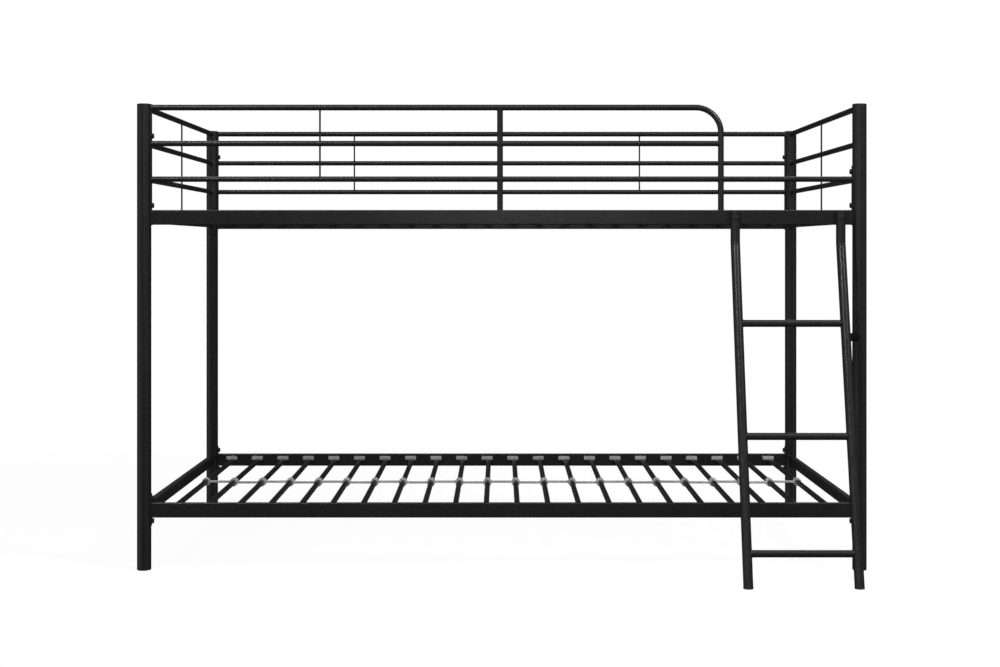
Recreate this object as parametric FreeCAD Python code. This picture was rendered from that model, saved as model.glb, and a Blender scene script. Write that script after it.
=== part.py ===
import FreeCAD, Part
import math
import os

# Twin-over-twin tubular steel bunk bed with a leaning ladder. Millimetres, +Z up.
# X runs along the bed, Y from the ladder side (front) to the back. The origin lies on
# the floor under the middle of the whole outline, ladder included.

V = FreeCAD.Vector
UP = V(0, 0, 1)
ALONG_X = V(1, 0, 0)
ALONG_Y = V(0, 1, 0)

# Posts
POST_SPACING_X = 1930.4
POST_SPACING_Y = 1016.0
POST_D = 38.1
POST_WALL = 1.2
BED_H = 1257.0
TOP_CAP_H = 4.0
FOOT_CAP_H = 5.0
CAP_EDGE_R = 1.8
CAP_PLUG_LEN = 14.0
CAP_PLUG_WALL = 2.0

# Side rails and end bearers
RAIL_W = 16.0
RAIL_H = 40.0
BEARER_W = 20.0
BEARER_H = 30.0
BOX_EDGE_R = 3.0
BOX_WALL = 1.2
LOWER_RAIL_Z = 161.0
UPPER_RAIL_Z = 950.5

# Saddle plates welded to the rail ends and bolted to the posts
PLATE_T = 2.2
PLATE_ARC_DEG = 64.0
UPPER_PLATE_Z = 930.0
UPPER_PLATE_TOP = 1255.0
SHORT_PLATE_TOP = 1090.0
LOWER_PLATE_Z = 119.5
LOWER_PLATE_TOP = 205.0
LOWER_BOLTS_Z = (132.0, 193.0)
UPPER_BOLTS_Z = (982.7, 1170.0)
SHORT_PLATE_BOLTS_Z = (982.7, 1074.0)

# Plate bolts, washers and threaded inserts
BOLT_D = 8.0
BOLT_CLEAR_D = 8.6
BOLT_HEAD_D = 14.0
BOLT_HEAD_H = 4.7
BOLT_HEAD_CROWN = 0.8
BOLT_SOCKET_AF = 5.0
BOLT_SOCKET_DEPTH = 2.6
BOLT_LEN = 18.0
WASHER_CREST_T = 0.8
INSERT_D = 12.0
INSERT_DEPTH = 15.0

# Guard tubes
GUARD_TOP_Z = 1247.0
GUARD_MIDDLE_Z = 1149.8
GUARD_LOWER_Z = 1053.7
GUARD_TOP_D = 15.9
GUARD_D = 15.0
GUARD_WALL = 1.0
HOOP_X = 591.3
HOOP_BEND_R = 67.5
CENTER_UPRIGHT_X = -4.8
SPINDLE_D = 5.0
SPINDLE_LEFT_X = -490.8
SPINDLE_RIGHT_X = 460.4

# Slats, their rail sockets and the spacer links
SLAT_COUNT = 22
SLAT_PITCH = 85.1
SLAT_D = 15.4
SLAT_WALL = 0.8
SLAT_DROP = 0.3
TAPER_FROM_RAIL = 37.0
TAPER_LEN = 22.0
TONGUE_W = 24.0
TONGUE_T = 3.0
TONGUE_IN_RAIL = 8.0
SOCKET_W = 36.0
SOCKET_H = 12.0
SOCKET_OFFSET = 5.0
SOCKET_FLANGE_T = 1.5
SOCKET_PLUG_W = 32.0
SOCKET_PLUG_H = 9.0
SOCKET_PLUG_LEN = 9.0
SOCKET_EDGE_R = 0.8
LINK_RING_D = 24.0
LINK_RING_LEN = 15.0
LINK_ROD_D = 7.2
LINK_BACK_Y = 520.8
LINK_FRONT_Y = 505.6

# Ladder
STILE_D = 25.4
STILE_WALL = 1.2
STILE_LEFT_X = 628.0
STILE_RIGHT_X = 911.8
STILE_TOP_Z = 966.0
STILE_TOP_CAP_T = 2.5
STILE_BEND_Z = 881.0
STILE_BEND_R = 90.0
STILE_LEAN_DEG = 14.4
STILE_AHEAD = 14.0
RUNG_D = 19.0
RUNG_WALL = 1.0
RUNG_Z = {"bottom": 84.9, "middle": 376.5, "top": 667.7}
LADDER_CAP_D = 26.0
LADDER_CAP_H = 14.0
LADDER_SOLE_T = 3.0
LADDER_BOLT_Z = 949.5
LADDER_BOLT_D = 6.0
LADDER_BOLT_HEAD_D = 11.0
LADDER_BOLT_HEAD_H = 3.0
LADDER_BOLT_CROWN = 1.6
LADDER_BOLT_SOCKET_AF = 4.0
LADDER_BOLT_SOCKET_DEPTH = 2.0
LADDER_BOLT_INTO_RAIL = 6.0
LADDER_INSERT_D = 9.0
STAY_Z = 629.5
STAY_STILE_D = 20.5
STAY_POST_D = 24.0
STAY_STUD_D = 8.0
STAY_ASIDE = 5.0

# Positions worked out from the sizes above
POST_R = POST_D / 2
PLATE_R = POST_R + PLATE_T
LEAN = math.tan(math.radians(STILE_LEAN_DEG))
STILE_FOOT_AHEAD = STILE_AHEAD + STILE_BEND_Z * LEAN
FOOT_REACH = STILE_FOOT_AHEAD + LADDER_CAP_D / 2 / math.cos(math.radians(STILE_LEAN_DEG))
FRONT_Y = (FOOT_REACH - POST_SPACING_Y - POST_R) / 2
REAR_Y = FRONT_Y + POST_SPACING_Y
MIDDLE_Y = (FRONT_Y + REAR_Y) / 2
STILE_Y = FRONT_Y - STILE_AHEAD
LEFT_X = -POST_SPACING_X / 2
RIGHT_X = POST_SPACING_X / 2

POSTS = {
    "front_left": (LEFT_X, FRONT_Y),
    "front_right": (RIGHT_X, FRONT_Y),
    "rear_left": (LEFT_X, REAR_Y),
    "rear_right": (RIGHT_X, REAR_Y),
}


def rod(start, end, d):
    """Solid round bar between two points."""
    axis = end - start
    return Part.makeCylinder(d / 2, axis.Length, start, axis)


def tube(start, end, d, wall):
    """Round tube between two points, open at both ends."""
    return rod(start, end, d).cut(rod(start, end, d - 2 * wall))


def bent_bar(start, corner, end, bend_r, d):
    """Solid round bar with one bend at the corner point."""
    to_start = (start - corner) / (start - corner).Length
    to_end = (end - corner) / (end - corner).Length
    half_angle = to_start.getAngle(to_end) / 2
    bisector = (to_start + to_end) / (to_start + to_end).Length
    centre = corner + bisector * (bend_r / math.sin(half_angle))
    setback = bend_r / math.tan(half_angle)
    bend_start = corner + to_start * setback
    bend_end = corner + to_end * setback
    turn = (bend_start - centre).cross(bend_end - centre)
    section = Part.Face(Part.Wire(Part.makeCircle(d / 2, bend_start, to_start)))
    elbow = section.revolve(centre, turn, 180 - math.degrees(2 * half_angle))
    return rod(start, bend_start, d).fuse([elbow, rod(bend_end, end, d)]).removeSplitter()


def bent_tube(start, corner, end, bend_r, d, wall):
    """Round tube with one bend, open at both ends."""
    bore = bent_bar(start, corner, end, bend_r, d - 2 * wall)
    return bent_bar(start, corner, end, bend_r, d).cut(bore)


def rounded_bar(length, width, height, edge_r):
    """Bar along X about the origin, with its four long edges rounded."""
    bar = Part.makeBox(length, width, height, V(-length / 2, -width / 2, -height / 2))
    long_edges = [e for e in bar.Edges if abs(e.tangentAt(e.FirstParameter).x) > 0.9]
    return bar.makeFillet(edge_r, long_edges)


def box_tube(length, width, height):
    """Rectangular tube along X about the origin."""
    bore = rounded_bar(length, width - 2 * BOX_WALL, height - 2 * BOX_WALL, BOX_EDGE_R - BOX_WALL)
    return rounded_bar(length, width, height, BOX_EDGE_R).cut(bore)


def post_envelope(name, radius):
    """Cylinder about a post's axis, used to trim the parts that meet the post."""
    x, y = POSTS[name]
    return rod(V(x, y, 0), V(x, y, BED_H), 2 * radius)


def inward(name):
    """+1 for the posts on the left and -1 for those on the right."""
    return 1 if POSTS[name][0] < 0 else -1


def upper_bolt_heights(name):
    return SHORT_PLATE_BOLTS_Z if name == "front_right" else UPPER_BOLTS_Z


def bolt_seats(name):
    """Points on the crest of a post's saddle plates where its bolts sit."""
    x, y = POSTS[name]
    crest = x + inward(name) * PLATE_R
    return [V(crest, y, z) for z in LOWER_BOLTS_Z + upper_bolt_heights(name)]


def stay_line():
    """Axis of the stay, from the right stile's axis to a point a little inboard of the post's axis."""
    on_stile = V(STILE_RIGHT_X, STILE_Y - (STILE_BEND_Z - STAY_Z) * LEAN, STAY_Z)
    return on_stile, V(RIGHT_X - STAY_ASIDE, FRONT_Y, STAY_Z)


def post(name):
    x, y = POSTS[name]
    body = tube(V(x, y, FOOT_CAP_H), V(x, y, BED_H - TOP_CAP_H), POST_D, POST_WALL)
    cuts = [rod(V(x, seat.y, seat.z), seat, INSERT_D) for seat in bolt_seats(name)]
    if name == "front_right":
        on_stile, on_post = stay_line()
        cuts.append(rod(on_stile, on_post, STAY_STUD_D))
    return body.cut(cuts)


def post_plug(x, y, z0, z1):
    """Ring that holds an end cap inside a post."""
    return tube(V(x, y, z0), V(x, y, z1), POST_D - 2 * POST_WALL, CAP_PLUG_WALL)


def post_top_cap(name):
    x, y = POSTS[name]
    seat = BED_H - TOP_CAP_H
    disc = rod(V(x, y, seat), V(x, y, BED_H), POST_D)
    rim = [e for e in disc.Edges if abs(e.BoundBox.ZMin - BED_H) < 0.01 and e.BoundBox.XLength > 1]
    return disc.makeFillet(CAP_EDGE_R, rim).fuse(post_plug(x, y, seat - CAP_PLUG_LEN, seat))


def post_foot_cap(name):
    x, y = POSTS[name]
    disc = rod(V(x, y, 0), V(x, y, FOOT_CAP_H), POST_D)
    rim = [e for e in disc.Edges if e.BoundBox.ZMax < 0.01]
    plug = post_plug(x, y, FOOT_CAP_H, FOOT_CAP_H + CAP_PLUG_LEN)
    return disc.makeChamfer(CAP_EDGE_R / 2, rim).fuse(plug)


def saddle_plate(name, z0, z1):
    """Curved plate on the inboard side of a post, drilled for its bolts."""
    x, y = POSTS[name]
    base = V(x, y, z0)
    plate = Part.makeCylinder(PLATE_R, z1 - z0, base, UP, PLATE_ARC_DEG)
    facing = 0 if inward(name) > 0 else 180
    plate.rotate(base, UP, facing - PLATE_ARC_DEG / 2)
    holes = [rod(V(x, s.y, s.z), s + ALONG_X * inward(name), BOLT_CLEAR_D) for s in bolt_seats(name)]
    return plate.cut([post_envelope(name, POST_R)] + holes)


def domed_bolt(seat, into, size, length):
    """Bolt with a domed head and a hexagon socket; its head rests on the seat point."""
    d, head_d, head_h, crown, socket_af, socket_depth = size
    cheek = Part.makeCylinder(head_d / 2, head_h - crown)
    sphere_r = ((head_d / 2) ** 2 + crown ** 2) / (2 * crown)
    ball = Part.makeSphere(sphere_r, V(0, 0, head_h - sphere_r))
    head = Part.makeCylinder(head_d / 2, head_h).common(ball).fuse(cheek).removeSplitter()
    corner_r = socket_af / math.sqrt(3)
    hexagon = [V(corner_r * math.cos(k * math.pi / 3), corner_r * math.sin(k * math.pi / 3),
                 head_h - socket_depth) for k in range(7)]
    socket = Part.Face(Part.makePolygon(hexagon)).extrude(V(0, 0, socket_depth))
    bolt = head.cut(socket).fuse(Part.makeCylinder(d / 2, length, V(0, 0, -length)))
    bolt.Placement = FreeCAD.Placement(seat, FreeCAD.Rotation(UP, into * -1))
    return bolt


def plate_bolt(name, seat):
    size = (BOLT_D, BOLT_HEAD_D, BOLT_HEAD_H, BOLT_HEAD_CROWN, BOLT_SOCKET_AF, BOLT_SOCKET_DEPTH)
    inboard = ALONG_X * inward(name)
    return domed_bolt(seat + inboard * WASHER_CREST_T, inboard * -1, size, BOLT_LEN)


def saddle_washer(name, seat):
    """Washer that is flat under the bolt head and hollowed to the saddle plate."""
    x = POSTS[name][0]
    face = seat + ALONG_X * inward(name) * WASHER_CREST_T
    blank = tube(V(x, seat.y, seat.z), face, BOLT_HEAD_D, (BOLT_HEAD_D - BOLT_CLEAR_D) / 2)
    return blank.cut(post_envelope(name, PLATE_R))


def thread_insert(name, seat):
    """Threaded bush welded into the post wall, flush with the outside."""
    x = POSTS[name][0] + inward(name) * (POST_R - INSERT_DEPTH)
    bush = tube(V(x, seat.y, seat.z), seat, INSERT_D, (INSERT_D - BOLT_D) / 2)
    return bush.common(post_envelope(name, POST_R))


def across(z, y):
    """End points of a member that runs along X between two posts."""
    return V(LEFT_X, y, z), V(RIGHT_X, y, z)


def slat_positions():
    first = -SLAT_PITCH * (SLAT_COUNT - 1) / 2
    return [first + k * SLAT_PITCH for k in range(SLAT_COUNT)]


def side_rail(row, y, rail_z, slot_side):
    """Box rail along X with a stepped slot for each slat in its inner wall."""
    rail = box_tube(POST_SPACING_X, RAIL_W, RAIL_H)
    rail.translate(V(0, y, rail_z))
    wall_y = y + slot_side * (RAIL_W / 2 - BOX_WALL / 2)
    tongue_z = rail_z - SLAT_DROP - TONGUE_T / 2
    cuts = [post_envelope(row + end, PLATE_R) for end in ("_left", "_right")]
    for x in slat_positions():
        cuts.append(Part.makeBox(TONGUE_W, 2 * BOX_WALL, TONGUE_T,
                                 V(x - TONGUE_W / 2, wall_y - BOX_WALL, tongue_z)))
        plug_x = x + slot_side * SOCKET_OFFSET - SOCKET_PLUG_W / 2
        cuts.append(Part.makeBox(SOCKET_PLUG_W, 2 * BOX_WALL, SOCKET_PLUG_H,
                                 V(plug_x, wall_y - BOX_WALL, tongue_z + TONGUE_T)))
    return rail.cut(cuts)


def upper_front_side_rail():
    """Upper rail on the ladder side, bored for the two ladder inserts."""
    rail = side_rail("front", FRONT_Y, UPPER_RAIL_Z, 1)
    bores = [rod(V(x, FRONT_Y - RAIL_W, LADDER_BOLT_Z), V(x, FRONT_Y, LADDER_BOLT_Z), LADDER_INSERT_D)
             for x in (STILE_LEFT_X, STILE_RIGHT_X)]
    return rail.cut(bores)


def end_bearer(side, rail_z):
    """Box tube along Y between the two posts of one end."""
    bearer = box_tube(POST_SPACING_Y, BEARER_W, BEARER_H)
    bearer.rotate(V(0, 0, 0), UP, 90)
    x = POSTS["front_" + side][0]
    bearer.translate(V(x, MIDDLE_Y, rail_z))
    return bearer.cut([post_envelope("front_" + side, POST_R), post_envelope("rear_" + side, POST_R)])


def spindle(x, y, z0, z1):
    """Thin round bar standing between two horizontal members."""
    return rod(V(x, y, z0), V(x, y, z1), SPINDLE_D)


def end_guard_rail(side, z, d):
    x = POSTS["front_" + side][0]
    rail = tube(V(x, FRONT_Y, z), V(x, REAR_Y, z), d, GUARD_WALL)
    return rail.cut([post_envelope("front_" + side, POST_R), post_envelope("rear_" + side, POST_R)])


def end_spindle(side):
    """Bar at mid-depth, through the two lower guard tubes, down to the upper bearer."""
    x = POSTS["front_" + side][0]
    bar = spindle(x, MIDDLE_Y, UPPER_RAIL_Z + BEARER_H / 2, GUARD_TOP_Z)
    return bar.cut(rod(V(x, FRONT_Y, GUARD_TOP_Z), V(x, REAR_Y, GUARD_TOP_Z), GUARD_TOP_D))


def guard_spindle(x, y):
    """Bar from the top guard tube through the middle one to the lower one."""
    bar = spindle(x, y, GUARD_LOWER_Z, GUARD_TOP_Z)
    top = rod(*across(GUARD_TOP_Z, y), GUARD_TOP_D)
    lower = rod(*across(GUARD_LOWER_Z, y), GUARD_D)
    return bar.cut([top, lower])


def rear_guard_rail(z, d, cuts):
    rail = tube(*across(z, REAR_Y), d, GUARD_WALL)
    return rail.cut([post_envelope("rear_left", PLATE_R), post_envelope("rear_right", PLATE_R)] + cuts)


def hoop_path():
    """Start, corner and end of the top front guard tube that turns down to the side rail."""
    return (V(LEFT_X, FRONT_Y, GUARD_TOP_Z), V(HOOP_X, FRONT_Y, GUARD_TOP_Z),
            V(HOOP_X, FRONT_Y, UPPER_RAIL_Z + RAIL_H / 2))


def front_guard_hoop():
    hoop = bent_tube(*hoop_path(), HOOP_BEND_R, GUARD_TOP_D, GUARD_WALL)
    return hoop.cut(post_envelope("front_left", PLATE_R))


def front_center_upright():
    """Upright from the underside of the top front tube to the side rail."""
    x = CENTER_UPRIGHT_X
    upright = tube(V(x, FRONT_Y, UPPER_RAIL_Z + RAIL_H / 2), V(x, FRONT_Y, GUARD_TOP_Z),
                   GUARD_TOP_D, GUARD_WALL)
    return upright.cut(rod(*across(GUARD_TOP_Z, FRONT_Y), GUARD_TOP_D))


def front_guard_rail(z, end_x):
    """Front guard tube from the left post to end_x, broken at the uprights it meets."""
    rail = tube(V(LEFT_X, FRONT_Y, z), V(end_x, FRONT_Y, z), GUARD_D, GUARD_WALL)
    uprights = [rod(V(x, FRONT_Y, UPPER_RAIL_Z), V(x, FRONT_Y, GUARD_TOP_Z), GUARD_TOP_D)
                for x in (CENTER_UPRIGHT_X, HOOP_X)]
    return rail.cut([post_envelope("front_left", PLATE_R), post_envelope("front_right", PLATE_R)]
                    + uprights)


def slat_taper(y, facing):
    """Crimped slat end at x = z = 0: round at y, flat after TAPER_LEN towards facing."""
    r = SLAT_D / 2
    flat_y = y + facing * TAPER_LEN
    half_w = (TONGUE_W - TONGUE_T) / 2
    half_t = TONGUE_T / 2
    round_arcs, flat_edges = [], []
    for quarter in range(4):
        start = math.pi / 4 + quarter * math.pi / 2
        a, mid, b = [V(r * math.cos(start + s), y, r * math.sin(start + s))
                     for s in (0, math.pi / 4, math.pi / 2)]
        round_arcs.append(Part.Arc(a, mid, b).toShape())
    for side in (1, -1):
        across_top = [V(side * half_w, flat_y, side * half_t), V(-side * half_w, flat_y, side * half_t)]
        tip = V(-side * (half_w + half_t), flat_y, 0)
        flat_edges.append(Part.makeLine(*across_top))
        flat_edges.append(Part.Arc(across_top[1], tip, V(-side * half_w, flat_y, -side * half_t)).toShape())
    flat_wire = Part.Wire(flat_edges)
    taper = Part.makeLoft([Part.Wire(round_arcs), flat_wire], True, True)
    tongue_len = TAPER_FROM_RAIL - TAPER_LEN + TONGUE_IN_RAIL
    tongue = Part.Face(flat_wire).extrude(V(0, facing * tongue_len, 0))
    return taper.fuse(tongue)


def slat_blank():
    """One slat lying along Y at x = z = 0: round tube with crimped, flat ends."""
    front = FRONT_Y + RAIL_W / 2 + TAPER_FROM_RAIL
    rear = REAR_Y - RAIL_W / 2 - TAPER_FROM_RAIL
    body = rod(V(0, front, 0), V(0, rear, 0), SLAT_D)
    bore_r = SLAT_D / 2 - SLAT_WALL
    bore = rod(V(0, front, 0), V(0, rear, 0), 2 * bore_r)
    cone_len = TAPER_LEN - TONGUE_T
    tip_r = TONGUE_T / 6
    cones = [Part.makeCone(bore_r, tip_r, cone_len, V(0, front, 0), ALONG_Y * -1),
             Part.makeCone(bore_r, tip_r, cone_len, V(0, rear, 0), ALONG_Y)]
    whole = body.fuse([slat_taper(front, -1), slat_taper(rear, 1)])
    return whole.cut(bore.fuse(cones))


def slats(blank, rail_z):
    """One bunk's row of slats."""
    return Part.makeCompound([blank.translated(V(x, 0, rail_z - SLAT_DROP)) for x in slat_positions()])


def slat_sockets(y, rail_z, inner):
    """Plastic sockets along one rail, each a little to one side of the slat tongue it holds."""
    face_y = y + inner * RAIL_W / 2
    bottom = rail_z - SLAT_DROP + TONGUE_T / 2
    sockets = []
    for slat_x in slat_positions():
        x = slat_x + inner * SOCKET_OFFSET
        flange = Part.makeBox(SOCKET_W, SOCKET_FLANGE_T, SOCKET_H,
                              V(x - SOCKET_W / 2, min(face_y, face_y + inner * SOCKET_FLANGE_T), bottom))
        corners = [e for e in flange.Edges if abs(e.tangentAt(e.FirstParameter).y) > 0.9]
        flange = flange.makeFillet(SOCKET_EDGE_R, corners)
        plug = Part.makeBox(SOCKET_PLUG_W, SOCKET_PLUG_LEN, SOCKET_PLUG_H,
                            V(x - SOCKET_PLUG_W / 2, min(face_y, face_y - inner * SOCKET_PLUG_LEN), bottom))
        sockets.append(flange.fuse(plug))
    return Part.makeCompound(sockets)


def spacer_link(x0, y, z):
    """Plastic link with a ring round two neighbouring slats and a bar between them."""
    x1 = x0 + SLAT_PITCH
    half = ALONG_Y * (LINK_RING_LEN / 2)
    centres = [V(x0, y, z), V(x1, y, z)]
    body = rod(centres[0], centres[1], LINK_ROD_D)
    body = body.fuse([rod(c - half, c + half, LINK_RING_D) for c in centres])
    return body.cut([rod(c - half, c + half, SLAT_D) for c in centres])


def slat_spacers(rail_z):
    """Links joining the slats at mid-span, in two rows side by side."""
    xs = slat_positions()
    z = rail_z - SLAT_DROP
    links = [spacer_link(x, FRONT_Y + LINK_BACK_Y, z) for x in xs[0:-1:2]]
    links += [spacer_link(x, FRONT_Y + LINK_FRONT_Y, z) for x in xs[1:-1:2]]
    return Part.makeCompound(links)


def stile_path(x):
    """Top, bend and foot of a stile's axis; the foot is carried below the floor for trimming."""
    drop = STILE_D
    return (V(x, STILE_Y, STILE_TOP_Z), V(x, STILE_Y, STILE_BEND_Z),
            V(x, STILE_Y - (STILE_BEND_Z + drop) * LEAN, -drop))


def slab(z0, z1):
    """Horizontal slice of space over the whole bed."""
    return Part.makeBox(2 * POST_SPACING_X, 4 * POST_SPACING_Y, z1 - z0,
                        V(-POST_SPACING_X, -2 * POST_SPACING_Y, z0))


def upper_front_rail_envelope():
    """Outside of the upper front rail, used to notch the ladder over it."""
    bar = rounded_bar(POST_SPACING_X, RAIL_W, RAIL_H, BOX_EDGE_R)
    bar.translate(V(0, FRONT_Y, UPPER_RAIL_Z))
    return bar


def rung_axis(name):
    z = RUNG_Z[name]
    y = STILE_Y - (STILE_BEND_Z - z) * LEAN
    return V(STILE_LEFT_X, y, z), V(STILE_RIGHT_X, y, z)


def stile(x):
    """Ladder stile: upright against the rail, then leaning out to the floor."""
    body = bent_tube(*stile_path(x), STILE_BEND_R, STILE_D, STILE_WALL)
    body = body.common(slab(LADDER_SOLE_T, STILE_TOP_Z))
    body = body.cut(upper_front_rail_envelope())
    bolt_y = STILE_Y - STILE_D
    hole = rod(V(x, bolt_y, LADDER_BOLT_Z), V(x, FRONT_Y, LADDER_BOLT_Z), LADDER_BOLT_D)
    cuts = [hole]
    if x == STILE_RIGHT_X:
        cuts.append(rod(*stay_line(), STAY_STUD_D))
    return body.cut(cuts)


def stile_top_cap(x):
    """Thin plug on top of a stile, flush against the rail."""
    cap = rod(V(x, STILE_Y, STILE_TOP_Z), V(x, STILE_Y, STILE_TOP_Z + STILE_TOP_CAP_T), STILE_D)
    return cap.cut(upper_front_rail_envelope())


def ladder_foot_cap(x):
    """Plug in the foot of a stile, with a sole that lies flat on the floor."""
    _, bend, foot = stile_path(x)
    sole = rod(bend, foot, LADDER_CAP_D).common(slab(0, LADDER_SOLE_T))
    plug = rod(bend, foot, STILE_D - 2 * STILE_WALL).common(slab(LADDER_SOLE_T, LADDER_CAP_H))
    return sole.fuse(plug)


def rung(name):
    start, end = rung_axis(name)
    body = tube(start, end, RUNG_D, RUNG_WALL)
    stiles = [rod(stile_path(x)[1], stile_path(x)[2], STILE_D) for x in (STILE_LEFT_X, STILE_RIGHT_X)]
    return body.cut(stiles)


def ladder_bolt(x):
    """Bolt through a stile into the rail's front wall."""
    seat = V(x, STILE_Y - STILE_D / 2, LADDER_BOLT_Z)
    size = (LADDER_BOLT_D, LADDER_BOLT_HEAD_D, LADDER_BOLT_HEAD_H, LADDER_BOLT_CROWN,
            LADDER_BOLT_SOCKET_AF, LADDER_BOLT_SOCKET_DEPTH)
    length = FRONT_Y - RAIL_W / 2 + LADDER_BOLT_INTO_RAIL - seat.y
    return domed_bolt(seat, ALONG_Y, size, length)


def ladder_insert(x):
    """Threaded bush in the rail's front wall."""
    face_y = FRONT_Y - RAIL_W / 2
    return tube(V(x, face_y, LADDER_BOLT_Z), V(x, face_y + LADDER_BOLT_INTO_RAIL, LADDER_BOLT_Z),
                LADDER_INSERT_D, (LADDER_INSERT_D - LADDER_BOLT_D) / 2)


def stay_spacer():
    """Tapered spacer between the right stile and the front right post."""
    on_stile, on_post = stay_line()
    axis = on_post - on_stile
    cone = Part.makeCone(STAY_STILE_D / 2, STAY_POST_D / 2, axis.Length, on_stile, axis)
    _, bend, foot = stile_path(STILE_RIGHT_X)
    return cone.cut([rod(bend, foot, STILE_D), post_envelope("front_right", POST_R),
                     rod(on_stile, on_post, STAY_STUD_D)])


def stay_stud():
    """Stud through the spacer, ending inside the stile and the post."""
    on_stile, on_post = stay_line()
    axis = (on_post - on_stile) / (on_post - on_stile).Length
    inside = STAY_STUD_D / 2
    return rod(on_stile + axis * inside, on_post - axis * inside, STAY_STUD_D)


def build():
    nodes = {}
    for name in POSTS:
        nodes["post_" + name] = post(name)
        top = SHORT_PLATE_TOP if name == "front_right" else UPPER_PLATE_TOP
        nodes["upper_plate_" + name] = saddle_plate(name, UPPER_PLATE_Z, top)
        nodes["lower_plate_" + name] = saddle_plate(name, LOWER_PLATE_Z, LOWER_PLATE_TOP)
    nodes["post_top_caps"] = Part.makeCompound([post_top_cap(n) for n in POSTS])
    nodes["post_foot_caps"] = Part.makeCompound([post_foot_cap(n) for n in POSTS])

    seats = [(n, seat) for n in POSTS for seat in bolt_seats(n)]
    nodes["plate_bolts"] = Part.makeCompound([plate_bolt(n, s) for n, s in seats])
    nodes["saddle_washers"] = Part.makeCompound([saddle_washer(n, s) for n, s in seats])
    nodes["post_thread_inserts"] = Part.makeCompound([thread_insert(n, s) for n, s in seats])

    nodes["upper_front_side_rail"] = upper_front_side_rail()
    nodes["upper_rear_side_rail"] = side_rail("rear", REAR_Y, UPPER_RAIL_Z, -1)
    nodes["lower_front_side_rail"] = side_rail("front", FRONT_Y, LOWER_RAIL_Z, 1)
    nodes["lower_rear_side_rail"] = side_rail("rear", REAR_Y, LOWER_RAIL_Z, -1)

    end_bars = []
    for side in ("left", "right"):
        nodes["upper_end_bearer_" + side] = end_bearer(side, UPPER_RAIL_Z)
        nodes["lower_end_bearer_" + side] = end_bearer(side, LOWER_RAIL_Z)
        bar = end_spindle(side)
        end_bars.append(bar)
        nodes["end_guard_top_" + side] = end_guard_rail(side, GUARD_TOP_Z, GUARD_TOP_D)
        nodes["end_guard_middle_" + side] = end_guard_rail(side, GUARD_MIDDLE_Z, GUARD_D).cut(bar)
        nodes["end_guard_lower_" + side] = end_guard_rail(side, GUARD_LOWER_Z, GUARD_D).cut(bar)

    nodes["end_guard_spindles"] = Part.makeCompound(end_bars)

    front_bar = guard_spindle(SPINDLE_LEFT_X, FRONT_Y)
    nodes["front_guard_hoop"] = front_guard_hoop()
    nodes["front_guard_center_upright"] = front_center_upright()
    nodes["front_guard_middle_rail"] = front_guard_rail(GUARD_MIDDLE_Z, HOOP_X).cut(front_bar)
    nodes["front_guard_lower_rail"] = front_guard_rail(GUARD_LOWER_Z, RIGHT_X)

    rear_bars = [guard_spindle(x, REAR_Y) for x in (SPINDLE_LEFT_X, SPINDLE_RIGHT_X)]
    nodes["rear_guard_top_rail"] = rear_guard_rail(GUARD_TOP_Z, GUARD_TOP_D, [])
    nodes["rear_guard_middle_rail"] = rear_guard_rail(GUARD_MIDDLE_Z, GUARD_D, rear_bars)
    nodes["rear_guard_lower_rail"] = rear_guard_rail(GUARD_LOWER_Z, GUARD_D, [])
    nodes["side_guard_spindles"] = Part.makeCompound([front_bar] + rear_bars)

    blank = slat_blank()
    for bunk, rail_z in (("lower", LOWER_RAIL_Z), ("upper", UPPER_RAIL_Z)):
        nodes[bunk + "_slats"] = slats(blank, rail_z)
        nodes[bunk + "_front_slat_sockets"] = slat_sockets(FRONT_Y, rail_z, 1)
        nodes[bunk + "_rear_slat_sockets"] = slat_sockets(REAR_Y, rail_z, -1)
        nodes[bunk + "_slat_spacers"] = slat_spacers(rail_z)

    stile_xs = (STILE_LEFT_X, STILE_RIGHT_X)
    nodes["ladder_stile_left"], nodes["ladder_stile_right"] = [stile(x) for x in stile_xs]
    nodes["ladder_top_caps"] = Part.makeCompound([stile_top_cap(x) for x in stile_xs])
    nodes["ladder_foot_caps"] = Part.makeCompound([ladder_foot_cap(x) for x in stile_xs])
    nodes["ladder_bolts"] = Part.makeCompound([ladder_bolt(x) for x in stile_xs])
    nodes["ladder_thread_inserts"] = Part.makeCompound([ladder_insert(x) for x in stile_xs])
    for name in RUNG_Z:
        nodes["ladder_rung_" + name] = rung(name)
    nodes["ladder_stay_spacer"] = stay_spacer()
    nodes["ladder_stay_stud"] = stay_stud()
    return nodes


os.makedirs("parts", exist_ok=True)
for node, shape in build().items():
    shape.exportStep("parts/" + node + ".step")
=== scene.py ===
import math
import random

import bmesh
import bpy
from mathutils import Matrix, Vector


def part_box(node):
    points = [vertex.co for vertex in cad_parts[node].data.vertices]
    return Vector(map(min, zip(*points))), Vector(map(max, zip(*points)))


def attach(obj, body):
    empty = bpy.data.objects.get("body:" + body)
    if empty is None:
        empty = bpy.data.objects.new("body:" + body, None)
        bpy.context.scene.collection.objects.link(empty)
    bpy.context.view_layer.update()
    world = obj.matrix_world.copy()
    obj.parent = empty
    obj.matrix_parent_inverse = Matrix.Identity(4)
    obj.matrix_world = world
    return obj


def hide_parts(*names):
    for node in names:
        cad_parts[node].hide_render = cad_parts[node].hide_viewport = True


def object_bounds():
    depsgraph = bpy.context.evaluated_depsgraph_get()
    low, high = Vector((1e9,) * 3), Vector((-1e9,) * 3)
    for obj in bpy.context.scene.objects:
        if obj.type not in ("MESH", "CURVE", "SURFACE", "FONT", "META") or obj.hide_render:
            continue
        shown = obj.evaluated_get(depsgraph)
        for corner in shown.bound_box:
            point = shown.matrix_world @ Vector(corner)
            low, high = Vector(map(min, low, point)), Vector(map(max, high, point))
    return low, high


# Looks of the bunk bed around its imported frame. Metres, in the frame of the solids:
# X along the bed, Y from the ladder side to the back, Z up.

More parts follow.
